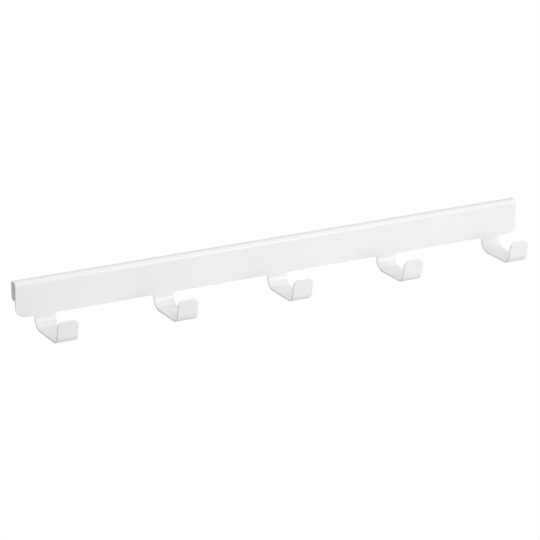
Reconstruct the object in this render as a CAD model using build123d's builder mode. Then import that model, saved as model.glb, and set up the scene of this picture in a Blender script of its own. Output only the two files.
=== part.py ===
from build123d import *
import os
from math import cos, radians, sin, tan

# Rail with five hooks, folded from one sheet of painted steel
#
# A front plate and a shorter rear flange are joined by a double fold at the top. The slot
# between them is open at the bottom, so the rail hangs over an edge or a bar. Tongues of
# the same sheet run down from the front plate, bend forward into level arms and end in
# upturned lips that lean away from the plate.
#
# Sizes are in millimetres. X runs along the rail, -Y is the front and +Z is up. The origin
# is the middle of the seat, the flat inside of the fold that rests on what the rail hangs on.

# The sheet
sheet = 2.2
edge_break = 0.4

# The rail
rail_length = 600.0
front_height = 38.3
rear_height = 23.5
slot_width = 7.0
fold_bend = 2.3
front_corner = 10.0
rear_corner = 5.0

# The hooks, from the ends of the rail inwards and from the root to the tip
hook_count = 5
end_margin = 32.0
hook_width = 22.5
root_fillet = 2.4
root_flat = 0.1
root_bend = 10.2
hook_reach = 58.5
lip_bend = 9.0
lip_rise = 23.2
lip_lean = 9.0
lip_corner = 5.5

# Edges this near to a height are taken to lie at it.
height_tolerance = 0.01

# Faces of the channel
front_face = -slot_width / 2 - sheet
rear_face = slot_width / 2 + sheet
front_bottom = sheet - front_height
rear_bottom = sheet - rear_height

# The tongue stays flat past the fillets at its root, then bends forward into the arm.
hook_pitch = (rail_length - 2 * end_margin) / (hook_count - 1)
arm_top = front_bottom - root_fillet - root_flat - root_bend
lip_top = arm_top + lip_rise

# The lip's outer edge is at the hook's reach, and its inner face is one sheet behind that.
lean = radians(lip_lean)
lip_tip = front_face - hook_reach + sheet * cos(lean)
lip_foot = lip_tip + lip_rise * tan(lean)
lip_direction = Axis((0, lip_foot, arm_top), (0, -sin(lean), cos(lean)))


# One hook: a strip of sheet whose upper face runs from inside the plate to the tip
with BuildPart() as hook:
    with BuildSketch(Plane.YZ):
        with BuildLine():
            FilletPolyline(
                (front_face, front_bottom + sheet),
                (front_face, arm_top),
                (lip_foot, arm_top),
                (lip_tip, lip_top),
                radius=[root_bend, lip_bend],
            )
            offset(amount=sheet, side=Side.LEFT)
        make_face()
    extrude(amount=hook_width / 2, both=True)

    # The end of the strip is the face furthest along the lip, and its corners are rounded.
    strip_end = hook.faces().sort_by(lip_direction).last
    fillet(strip_end.edges().filter_by(Axis.X, reverse=True), radius=lip_corner)


def across_sheet(height):
    """Straight edges of the rail that run through the sheet, front to back, at a height."""
    low = height - height_tolerance
    high = height + height_tolerance
    return hook_rail.edges().filter_by(Axis.Y).filter_by_position(Axis.Z, low, high).sort_by(Axis.X)


def meets_square(edge, faces):
    """True for an edge where the cut side of the sheet meets one of its two skins."""
    middle = edge.position_at(0.5)
    normals = [face.normal_at(middle) for face in faces if edge in face.edges()]
    return abs(normals[0].dot(normals[-1])) < cos(radians(45))


# The whole rail
with BuildPart() as hook_rail:
    # The channel: front plate, double fold and rear flange
    with BuildSketch(Plane.YZ):
        with BuildLine():
            FilletPolyline(
                (front_face, front_bottom),
                (front_face, sheet),
                (rear_face, sheet),
                (rear_face, rear_bottom),
                radius=fold_bend + sheet,
            )
            offset(amount=sheet, side=Side.RIGHT)
        make_face()
    extrude(amount=rail_length / 2, both=True)

    # The hooks, evenly spaced about the middle of the rail
    with GridLocations(hook_pitch, 0, hook_count, 1):
        add(hook.part)

    # Fillets where the tongues leave the lower edge of the front plate
    fillet(across_sheet(front_bottom)[1:-1], radius=root_fillet)

    # The lower corners at the two ends of the rail
    fillet(across_sheet(front_bottom).group_by(Axis.X)[0], radius=front_corner)
    fillet(across_sheet(front_bottom).group_by(Axis.X)[-1], radius=front_corner)
    fillet(across_sheet(rear_bottom), radius=rear_corner)

    # The cut outline of the sheet is deburred all round, on both its edges.
    sheet_faces = hook_rail.faces()
    cut_edges = [edge for edge in hook_rail.edges() if meets_square(edge, sheet_faces)]
    chamfer(cut_edges, length=edge_break)

hook_rail.part.label = "hook_rail"
os.makedirs("parts", exist_ok=True)
export_step(hook_rail.part, "parts/hook_rail.step")
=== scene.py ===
# %% [markdown]
# # A hook rail of folded, powder-coated steel
#
# The rail is one sheet of steel. Its top is folded over into a narrow channel that hangs on an
# edge, and five tongues of the same sheet are bent forward into hooks. This lesson folds the
# sheet in Blender much as a press brake does it, gives it a satin white coat and lights it
# softly from the front.
#
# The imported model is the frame. Its one solid says how large the rail is and where it hangs.

# %% Load the frame
import bmesh
import bpy
from math import cos, pi, radians, sin, tan
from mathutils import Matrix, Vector


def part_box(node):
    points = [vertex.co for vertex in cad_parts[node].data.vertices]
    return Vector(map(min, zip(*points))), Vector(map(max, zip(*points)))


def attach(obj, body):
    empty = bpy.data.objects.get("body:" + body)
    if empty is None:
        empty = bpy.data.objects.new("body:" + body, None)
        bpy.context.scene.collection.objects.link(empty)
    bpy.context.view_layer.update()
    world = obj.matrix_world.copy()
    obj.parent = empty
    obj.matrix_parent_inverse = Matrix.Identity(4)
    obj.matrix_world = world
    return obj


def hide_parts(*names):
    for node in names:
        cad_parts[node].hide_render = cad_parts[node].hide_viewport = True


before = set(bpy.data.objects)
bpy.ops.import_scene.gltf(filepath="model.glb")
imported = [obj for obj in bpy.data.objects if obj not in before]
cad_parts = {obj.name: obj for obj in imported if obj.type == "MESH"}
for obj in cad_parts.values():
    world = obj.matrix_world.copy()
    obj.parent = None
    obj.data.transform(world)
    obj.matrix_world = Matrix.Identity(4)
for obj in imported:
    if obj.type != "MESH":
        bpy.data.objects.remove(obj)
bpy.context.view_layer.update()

MM = 0.001
low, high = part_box("hook_rail")
print("frame nodes:", sorted(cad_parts))
print("rail size in mm:", [round(side / MM, 2) for side in high - low])

# %% [markdown]
# ## Helpers for selecting
#
# Operators act on whatever is selected. These helpers clear the selection first and then pick
# whole pieces, or in edit mode edges and corners by where they are. That stays true when a size
# changes, which a list of point numbers would not.

# %% Selecting pieces, edges and corners
NEAR = 0.01 * MM


def select_only(*pieces):
    """Selects these pieces and nothing else, and makes the last one active."""
    bpy.ops.object.select_all(action="DESELECT")
    for piece in pieces:
        piece.select_set(True)
    bpy.context.view_layer.objects.active = pieces[-1]


def pick(kind, test):
    """In edit mode, selects only the edges or corners whose points all pass the test."""
    bpy.ops.mesh.select_mode(type=kind)
    bpy.ops.mesh.select_all(action="DESELECT")
    mesh = bpy.context.object.data
    edit_mesh = bmesh.from_edit_mesh(mesh)
    for part in edit_mesh.edges if kind == "EDGE" else edit_mesh.verts:
        points = [corner.co for corner in part.verts] if kind == "EDGE" else [part.co]
        if all(test(point) for point in points):
            part.select_set(True)
    bmesh.update_edit_mesh(mesh)


# %% [markdown]
# ## Helpers for folding
#
# A folded sheet is a row of flat runs with bends between them. A new rectangle is the first run.
# Extruding its end edge adds a flat run, and spinning that edge about a line adds a bend.

# %% Sheet, runs and bends
BEND_STEPS = 14


def add_plane(name, middle, across, along, turned=0.0):
    """Adds a rectangle of sheet at its place, turned about X, and opens it in edit mode."""
    bpy.ops.object.select_all(action="DESELECT")
    bpy.ops.mesh.primitive_plane_add(size=1, location=middle, rotation=(turned, 0, 0))
    sheet = bpy.context.object
    sheet.name = name
    sheet.scale = (across, along, 1)
    bpy.ops.object.transform_apply(location=True, rotation=True, scale=True)
    bpy.ops.object.mode_set(mode="EDIT")
    return sheet


def push_out(step):
    """Extrudes the selected edges by a step, as a straight run of sheet."""
    bpy.ops.mesh.extrude_region_move(TRANSFORM_OT_translate={"value": step})


def bend(angle, axis_y, axis_z):
    """Spins the selected edges about a line along the rail, as one bend of the sheet."""
    bpy.ops.mesh.spin(steps=BEND_STEPS, angle=angle, center=(0, axis_y, axis_z), axis=(1, 0, 0))


# %% [markdown]
# ## The channel
#
# The front plate, the double fold and the rear flange are one run of sheet. A thin box with its
# bottom open would give the outline, but its edges would be sharp, while a folded sheet has a
# round back to each bend. So only the outer skin is made first: a flat plate whose top edge is
# spun through a bend, pushed across the channel, spun again and pushed down behind. The sheet
# gets its thickness later, all at once.

# %% The front plate and the double fold
SHEET = 2.2 * MM
FRONT_HEIGHT = 38.3 * MM
REAR_HEIGHT = 23.5 * MM

# The depth of the channel and the radius of its two bends are measured outside.
CHANNEL_DEPTH = 11.4 * MM
FOLD_RADIUS = 4.5 * MM

rail_length = high.x - low.x
front_face = high.y - CHANNEL_DEPTH
front_bottom = high.z - FRONT_HEIGHT
rear_bottom = high.z - REAR_HEIGHT
fold_z = high.z - FOLD_RADIUS

plate_middle = (0, front_face, (front_bottom + fold_z) / 2)
rail = add_plane("rail_sheet", plate_middle, rail_length, fold_z - front_bottom, turned=pi / 2)
pick("EDGE", lambda point: point.z > fold_z - NEAR)
bend(pi / 2, front_face + FOLD_RADIUS, fold_z)
pick("EDGE", lambda point: point.z > high.z - NEAR)
push_out((0, CHANNEL_DEPTH - 2 * FOLD_RADIUS, 0))
pick("EDGE", lambda point: point.y > high.y - FOLD_RADIUS - NEAR)
bend(pi / 2, high.y - FOLD_RADIUS, fold_z)
pick("EDGE", lambda point: point.y > high.y - NEAR)
push_out((0, 0, rear_bottom - fold_z))
rail_points = [corner.co for corner in bmesh.from_edit_mesh(rail.data).verts]
lowest_behind = min(point.z for point in rail_points if point.y > 0)
print("skin of the channel, lowest behind in mm:", round(lowest_behind / MM, 3))
print("skin of the channel, rearmost in mm:", round(max(p.y for p in rail_points) / MM, 3))

# %% [markdown]
# ## Room for the hooks
#
# The hooks grow out of the plate's lower edge. A hook that only touched that long edge would
# share no points with it, so it couldn't be merged with the plate. Each hook needs its own
# length of the edge, so the skin is cut right across at both sides of every root, where the
# fillets of the root begin.

# %% Cut the plate at the roots of the hooks
HOOK_COUNT = 5
END_MARGIN = 32.0 * MM
HOOK_WIDTH = 22.5 * MM
ROOT_FILLET = 2.4 * MM

hook_pitch = (rail_length - 2 * END_MARGIN) / (HOOK_COUNT - 1)
hook_places = [(number - (HOOK_COUNT - 1) / 2) * hook_pitch for number in range(HOOK_COUNT)]
root_half = HOOK_WIDTH / 2 + ROOT_FILLET
for place in hook_places:
    for cut in (place - root_half, place + root_half):
        bpy.ops.mesh.select_all(action="SELECT")
        bpy.ops.mesh.bisect(plane_co=(cut, 0, 0), plane_no=(1, 0, 0))
print("hooks at mm:", [round(place / MM, 1) for place in hook_places])

# %% [markdown]
# ## Round corners
#
# The sheet is cut before it is folded, and its free corners are cut round. A Bevel modifier
# would round all corners alike. Bevelling chosen corner points of the flat skin lets each pair
# of corners have its own radius.

# %% Round the free corners of the plate and the flange
FRONT_CORNER = 10.0 * MM
REAR_CORNER = 5.0 * MM
CORNER_STEPS = 12


def round_corners(radius, test):
    """In edit mode, cuts the corners that pass the test round."""
    pick("VERT", test)
    bpy.ops.mesh.bevel(offset=radius, segments=CORNER_STEPS, profile=0.5, affect="VERTICES")


rail_end = rail_length / 2 - NEAR


def at_front_corner(point):
    """True at the two lower corners of the front plate."""
    return abs(point.x) > rail_end and point.z < front_bottom + NEAR


def at_rear_corner(point):
    """True at the two lower corners of the rear flange."""
    return abs(point.x) > rail_end and point.y > high.y - NEAR and point.z < rear_bottom + NEAR


round_corners(FRONT_CORNER, at_front_corner)
round_corners(REAR_CORNER, at_rear_corner)
bpy.ops.object.mode_set(mode="OBJECT")
print("faces in the channel's skin:", len(rail.data.polygons))

# %% [markdown]
# ## One hook
#
# A hook is a flat arm between two bends. It is made once, in the middle of the rail, and copied
# afterwards. A curve with a flat profile could follow the same line, but a bend that is spun
# has exactly the radius that the sheet was bent to. The arm is laid down first as a plane in its
# place. Its back edge is spun up through the root bend and its front edge through the lip bend,
# each about the line that the sheet was bent round.

# %% The arm and its two bends
HOOK_REACH = 58.5 * MM
ROOT_BEND = 10.2 * MM
LIP_BEND = 9.0 * MM
LIP_RISE = 23.2 * MM
LIP_LEAN = radians(9.0)
LIP_CORNER = 5.5 * MM

arm_top = low.z + SHEET
lip_turn = pi / 2 - LIP_LEAN
lip_tip = front_face - HOOK_REACH + SHEET * cos(LIP_LEAN)
lip_foot = lip_tip + LIP_RISE * tan(LIP_LEAN)
arm_back = front_face - ROOT_BEND
arm_front = lip_foot + LIP_BEND * tan(lip_turn / 2)

arm_middle = (0, (arm_back + arm_front) / 2, arm_top)
hook = add_plane("hook_sheet", arm_middle, HOOK_WIDTH, arm_back - arm_front)
pick("EDGE", lambda point: point.y > arm_back - NEAR)
bend(-pi / 2, arm_back, arm_top + ROOT_BEND)
pick("EDGE", lambda point: point.y < arm_front + NEAR)
bend(lip_turn, arm_front, arm_top + LIP_BEND)
print("flat of the arm in mm:", round((arm_back - arm_front) / MM, 2))

# %% [markdown]
# ## The lip
#
# The lip is a straight run that goes on from its bend and leans away from the plate. The bend
# has already risen by a part of the lip's height. One more push of the edge makes up the rest,
# and the two corners are cut round.

# %% The lip
lip_straight = LIP_RISE - LIP_BEND * (1 - cos(lip_turn))
hook_points = [corner.co for corner in bmesh.from_edit_mesh(hook.data).verts]
bend_end_y = min(point.y for point in hook_points)
pick("EDGE", lambda point: point.y < bend_end_y + NEAR)
push_out((0, -lip_straight * tan(LIP_LEAN), lip_straight))
round_corners(LIP_CORNER, lambda point: point.y < lip_tip + NEAR)
print("straight rise of the lip in mm:", round(lip_straight / MM, 2))

# %% [markdown]
# ## The root
#
# At its other end the hook widens into the plate with a small hollow fillet on both sides. The
# corner could be bevelled after the hook is merged with the plate. Here the root edge is pushed
# up in short steps instead, each a little wider than the last. That draws the same quarter
# circle and leaves the hook complete before it is copied.

# %% The root
FILLET_STEPS = 7

half_width = HOOK_WIDTH / 2
root_z = front_bottom - ROOT_FILLET
pick("EDGE", lambda point: point.z > arm_top + ROOT_BEND - NEAR and point.y > front_face - NEAR)
push_out((0, 0, root_z - (arm_top + ROOT_BEND)))
for step in range(1, FILLET_STEPS + 1):
    turn = pi / 2 * step / FILLET_STEPS
    next_half = HOOK_WIDTH / 2 + ROOT_FILLET * (1 - cos(turn))
    next_z = front_bottom - ROOT_FILLET + ROOT_FILLET * sin(turn)
    widening = (next_half / half_width, 1, 1)
    push_out((0, 0, next_z - root_z))
    bpy.ops.transform.resize(value=widening, center_override=(0, front_face, next_z))
    half_width, root_z = next_half, next_z
bpy.ops.object.mode_set(mode="OBJECT")
print("root width in mm:", round(2 * half_width / MM, 3), "at height", round(root_z / MM, 3))

# %% [markdown]
# ## Five hooks on one sheet
#
# The hooks are alike, so the finished one is duplicated. An Array modifier could space them as
# well, but they have to end up in the plate's own mesh. Each copy is moved to its place, all of
# them are joined to the plate, and points that lie on each other are merged, so that the rail is
# one sheet with no seam between the plate and a hook.
#
# An open sheet has no inside, so Blender can only make its faces agree with each other. The
# plate says which way they should point: to the front.

# %% Copy the hook and join the sheet
MERGE_GAP = 0.02 * MM

hooks = [hook]
while len(hooks) < HOOK_COUNT:
    select_only(hook)
    bpy.ops.object.duplicate(linked=False)
    hooks.append(bpy.context.object)
for copy, place in zip(hooks, hook_places):
    copy.location.x = place

select_only(*hooks)
bpy.ops.object.transform_apply(location=True, rotation=True, scale=True)
select_only(*hooks, rail)
bpy.ops.object.join()

bpy.ops.object.mode_set(mode="EDIT")
bpy.ops.mesh.select_all(action="SELECT")
bpy.ops.mesh.remove_doubles(threshold=MERGE_GAP)
bpy.ops.mesh.normals_make_consistent(inside=False)
bpy.ops.object.mode_set(mode="OBJECT")
plate_face = max(rail.data.polygons, key=lambda face: face.area)
if plate_face.normal.y > 0:
    bpy.ops.object.mode_set(mode="EDIT")
    bpy.ops.mesh.flip_normals()
    bpy.ops.object.mode_set(mode="OBJECT")
print("faces in the whole skin:", len(rail.data.polygons))

# %% [markdown]
# ## Thickness and soft edges
#
# Solidify gives the skin its 2.2 mm, which is 2 mm of steel and its coat, on the side behind it.
# Powder coat can't cover a sharp edge: it pulls into a small round. So every cut edge gets a
# round of 0.4 mm. The bends are spun in small steps, so a limit by angle leaves them alone.
# Weighted normals then keep the wide flat faces flat where they meet a bend or such a round,
# which matters for the soft reflections of a satin surface.

# %% Thicken, round the edges and shade
EDGE_ROUND = 0.4 * MM
EDGE_STEPS = 3
CUT_EDGE_ANGLE = radians(50)
SMOOTH_ANGLE = radians(40)


def finish_with(piece, kind, **settings):
    """Adds a modifier with its settings to the active piece and applies it."""
    modifier = piece.modifiers.new(kind.lower(), kind)
    for name, value in settings.items():
        setattr(modifier, name, value)
    bpy.ops.object.modifier_apply(modifier=modifier.name)


select_only(rail)
finish_with(rail, "SOLIDIFY", thickness=SHEET, offset=-1, use_even_offset=True)
finish_with(
    rail, "BEVEL", width=EDGE_ROUND, segments=EDGE_STEPS, limit_method="ANGLE", angle_limit=CUT_EDGE_ANGLE
)
bpy.ops.object.shade_smooth_by_angle(angle=SMOOTH_ANGLE)
finish_with(rail, "WEIGHTED_NORMAL", keep_sharp=True)

# %% [markdown]
# A closed sheet has no open edges, and its box should be that of the frame's solid.

# %% Measure the sheet
measured = bmesh.new()
measured.from_mesh(rail.data)
volume = measured.calc_volume(signed=True)
open_edges = sum(1 for edge in measured.edges if not edge.is_manifold)
measured.free()
low_corner, high_corner = rail.bound_box[0], rail.bound_box[6]
print("rail volume in cubic mm:", round(volume / MM**3), "open edges:", open_edges)
print("box in mm:", [round(value / MM, 3) for value in (*low_corner, *high_corner)])

# %% [markdown]
# ## Powder coat
#
# The coat is white with a trace of warmth and a satin sheen. Powder melts and flows together in
# the oven, and it leaves a fine skin like orange peel. A flat colour would look like plastic,
# so the coat gets that skin as a shallow bump, with a little change in tone and in sheen. All
# three come from noise on the piece's own coordinates, so no picture is needed. They sit in one
# group, which another coat could use with its own values.

# %% The grain of a powder coat
PEEL_DETAIL = 2.0
CLOUD_DETAIL = 3.0
TONE_SCALE = 14.0
SHEEN_SCALE = 45.0


def coat_grain():
    """A node group that puts out the height, tone and sheen of a powder coat."""
    group = bpy.data.node_groups.new("powder_coat_grain", "ShaderNodeTree")
    group.interface.new_socket("Coordinates", in_out="INPUT", socket_type="NodeSocketVector")
    group.interface.new_socket("Peel Scale", in_out="INPUT", socket_type="NodeSocketFloat")
    for name in ("Height", "Tone", "Sheen"):
        group.interface.new_socket(name, in_out="OUTPUT", socket_type="NodeSocketFloat")
    nodes, links = group.nodes, group.links
    inward = nodes.new("NodeGroupInput")
    outward = nodes.new("NodeGroupOutput")
    peel = nodes.new("ShaderNodeTexNoise")
    peel.inputs["Detail"].default_value = PEEL_DETAIL
    links.new(inward.outputs["Coordinates"], peel.inputs["Vector"])
    links.new(inward.outputs["Peel Scale"], peel.inputs["Scale"])
    links.new(peel.outputs["Fac"], outward.inputs["Height"])
    for name, scale in (("Tone", TONE_SCALE), ("Sheen", SHEEN_SCALE)):
        cloud = nodes.new("ShaderNodeTexNoise")
        cloud.inputs["Scale"].default_value = scale
        cloud.inputs["Detail"].default_value = CLOUD_DETAIL
        links.new(inward.outputs["Coordinates"], cloud.inputs["Vector"])
        links.new(cloud.outputs["Fac"], outward.inputs[name])
    print("grain puts out:", [socket.name for socket in outward.inputs if socket.name])
    return group


# %% [markdown]
# The coat itself mixes two near whites by the tone of the grain, changes its roughness a little
# by the sheen, and reads its bump from the height. A bump only changes how the light falls, so
# the outline stays that of the mesh.

# %% Satin white coat
COAT_WHITE = (0.86, 0.857, 0.843)
COAT_DARKER = (0.84, 0.837, 0.823)
COAT_ROUGHNESS = 0.32
ROUGHNESS_SPREAD = 0.03
PEEL_SCALE = 700.0
PEEL_STRENGTH = 0.3
PEEL_HEIGHT = 0.02 * MM


def powder_coat(name, colour, darker, roughness):
    """A satin powder coat with a fine peel in its surface."""
    material = bpy.data.materials.new(name)
    material.use_nodes = True
    nodes, links = material.node_tree.nodes, material.node_tree.links
    shader = nodes["Principled BSDF"]
    place = nodes.new("ShaderNodeTexCoord")
    grain = nodes.new("ShaderNodeGroup")
    grain.node_tree = coat_grain()
    grain.inputs["Peel Scale"].default_value = PEEL_SCALE
    links.new(place.outputs["Object"], grain.inputs["Coordinates"])

    tone = nodes.new("ShaderNodeMix")
    tone.data_type = "RGBA"
    tone.inputs["A"].default_value = (*darker, 1)
    tone.inputs["B"].default_value = (*colour, 1)
    links.new(grain.outputs["Tone"], tone.inputs["Factor"])
    links.new(tone.outputs["Result"], shader.inputs["Base Color"])

    sheen = nodes.new("ShaderNodeMapRange")
    sheen.inputs["To Min"].default_value = roughness - ROUGHNESS_SPREAD
    sheen.inputs["To Max"].default_value = roughness + ROUGHNESS_SPREAD
    links.new(grain.outputs["Sheen"], sheen.inputs["Value"])
    links.new(sheen.outputs["Result"], shader.inputs["Roughness"])

    bump = nodes.new("ShaderNodeBump")
    bump.inputs["Strength"].default_value = PEEL_STRENGTH
    bump.inputs["Distance"].default_value = PEEL_HEIGHT
    links.new(grain.outputs["Height"], bump.inputs["Height"])
    links.new(bump.outputs["Normal"], shader.inputs["Normal"])
    return material


white_coat = powder_coat("satin_white_coat", COAT_WHITE, COAT_DARKER, COAT_ROUGHNESS)
rail.data.materials.clear()
rail.data.materials.append(white_coat)
print("coat:", white_coat.name)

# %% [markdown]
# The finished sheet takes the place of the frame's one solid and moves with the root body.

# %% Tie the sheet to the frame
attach(rail, "root")
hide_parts("hook_rail")
print(rail.name, "stands for the solid, which has", len(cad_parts), "node")

# %% [markdown]
# ## Camera
#
# The picture is taken from the left of the rail and a little above it, from nearly three metres
# away with a long lens. Such a lens keeps the rail's top and bottom edges almost parallel.
#
# The camera and the lamps all face one point near the middle of the rail, so one helper places
# them. A place and a rotation would do as well, but a turn, a rise and a distance are easier to
# picture.

# %% Camera
AIM = Vector((-8.8, -5.7, -30.7)) * MM
CAMERA_TURN = -28.2
CAMERA_RISE = 18.8
CAMERA_DISTANCE = 2.858
SENSOR_WIDTH = 36
FOCAL_LENGTH = 179.9


def face_the_rail(thing, turn, rise, distance):
    """Places a camera or lamp round the rail, turned from the front to the right and raised."""
    turn, rise = radians(turn), radians(rise)
    outward = Vector((sin(turn) * cos(rise), -cos(turn) * cos(rise), sin(rise)))
    bpy.context.scene.collection.objects.link(thing)
    thing.location = AIM + outward * distance
    thing.rotation_euler = (-outward).to_track_quat("-Z", "Y").to_euler()


camera_data = bpy.data.cameras.new("camera")
camera_data.sensor_width = SENSOR_WIDTH
camera_data.lens = FOCAL_LENGTH
camera = bpy.data.objects.new("camera", camera_data)
face_the_rail(camera, CAMERA_TURN, CAMERA_RISE, CAMERA_DISTANCE)
bpy.context.scene.camera = camera
print("camera at", [round(value, 3) for value in camera.location])

# %% [markdown]
# ## Surroundings
#
# The backdrop is white because the camera and the reflections see it white, and not because of
# strong lamps, which would wash the folds out. Apart from that the surroundings give only a weak
# even light, and the inside of the channel stays dark.

# %% White surroundings with a weak light
SURROUND_LEVEL = 0.41


def white_world(level):
    """Even light of a level from all round, which the camera and the reflections see as white."""
    world = bpy.data.worlds.new("studio")
    bpy.context.scene.world = world
    world.use_nodes = True
    nodes, links = world.node_tree.nodes, world.node_tree.links
    backdrop = nodes["Background"]
    backdrop.inputs["Color"].default_value = (1, 1, 1, 1)
    path = nodes.new("ShaderNodeLightPath")
    seen = path.outputs["Is Camera Ray"]
    for kind in ("Is Glossy Ray", "Is Transmission Ray"):
        either = nodes.new("ShaderNodeMath")
        either.operation = "MAXIMUM"
        links.new(seen, either.inputs[0])
        links.new(path.outputs[kind], either.inputs[1])
        seen = either.outputs["Value"]
    strength = nodes.new("ShaderNodeMapRange")
    strength.inputs["To Min"].default_value = level
    strength.inputs["To Max"].default_value = 1.0
    links.new(seen, strength.inputs["Value"])
    links.new(strength.outputs["Result"], backdrop.inputs["Strength"])
    return world


print("surroundings:", white_world(SURROUND_LEVEL).name, "at", SURROUND_LEVEL)

# %% [markdown]
# ## Lamps
#
# A white part shows its form only by small changes of light, so each lamp has one task. The wide
# lamp overhead lights the arms and the top fold. The one in front gives the plate its even tone,
# the wide one low in front lifts the bends at the roots of the hooks, and the small one nearer to
# the right makes that end of the rail a little brighter. The lamp behind is low, so that it
# reaches the back of the rail but leaves the dark line along the rear edge of the fold.

# %% Lamps
# Name, turn and rise in degrees, distance, width and height in metres, power in watts
LAMPS = (
    ("top_lamp", 0, 90, 2.0, 2.4, 1.5, 14.9),
    ("front_lamp", -15, 25, 2.5, 1.4, 1.4, 12.8),
    ("low_lamp", -5, -15, 2.5, 3.2, 1.8, 7.9),
    ("right_lamp", 25, 11, 1.46, 0.6, 0.6, 6.5),
    ("back_lamp", 165, -25, 2.5, 1.5, 1.2, 10.0),
)


def soft_lamp(name, turn, rise, distance, width, height, power):
    """A flat lamp that faces the rail and isn't itself in the picture."""
    lamp_data = bpy.data.lights.new(name, "AREA")
    lamp_data.shape = "RECTANGLE"
    lamp_data.size = width
    lamp_data.size_y = height
    lamp_data.energy = power
    lamp = bpy.data.objects.new(name, lamp_data)
    face_the_rail(lamp, turn, rise, distance)
    lamp.visible_camera = False
    return lamp


for settings in LAMPS:
    lamp = soft_lamp(*settings)
    print(lamp.name, "at", [round(value, 2) for value in lamp.location])

# %% [markdown]
# ## Floor
#
# The rail hangs free, so the floor is a plain pale disc a metre below it. The disc ends before
# the camera's view reaches the floor, so the ground of the picture is the white backdrop, and
# the floor only throws a little light up at the undersides.

# %% Floor
FLOOR_Z = -1.0
FLOOR_RADIUS = 1.3
FLOOR_SIDES = 96
FLOOR_COLOUR = (0.8, 0.8, 0.8, 1)
FLOOR_ROUGHNESS = 0.9

bpy.ops.object.select_all(action="DESELECT")
bpy.ops.mesh.primitive_circle_add(
    vertices=FLOOR_SIDES, radius=FLOOR_RADIUS, fill_type="NGON", location=(0, 0, FLOOR_Z)
)
floor = bpy.context.object
floor.name = "floor"
floor_paint = bpy.data.materials.new("pale_floor")
floor_paint.use_nodes = True
floor_shader = floor_paint.node_tree.nodes["Principled BSDF"]
floor_shader.inputs["Base Color"].default_value = FLOOR_COLOUR
floor_shader.inputs["Roughness"].default_value = FLOOR_ROUGHNESS
floor.data.materials.append(floor_paint)
print("floor at", FLOOR_Z, "m, radius", FLOOR_RADIUS, "m")

# %% [markdown]
# ## Finish
#
# The new sheet must fill the same box as the solid that it stands for. The Standard view shows
# a colour about as it is written.

# %% Finish
bpy.context.scene.view_settings.view_transform = "Standard"
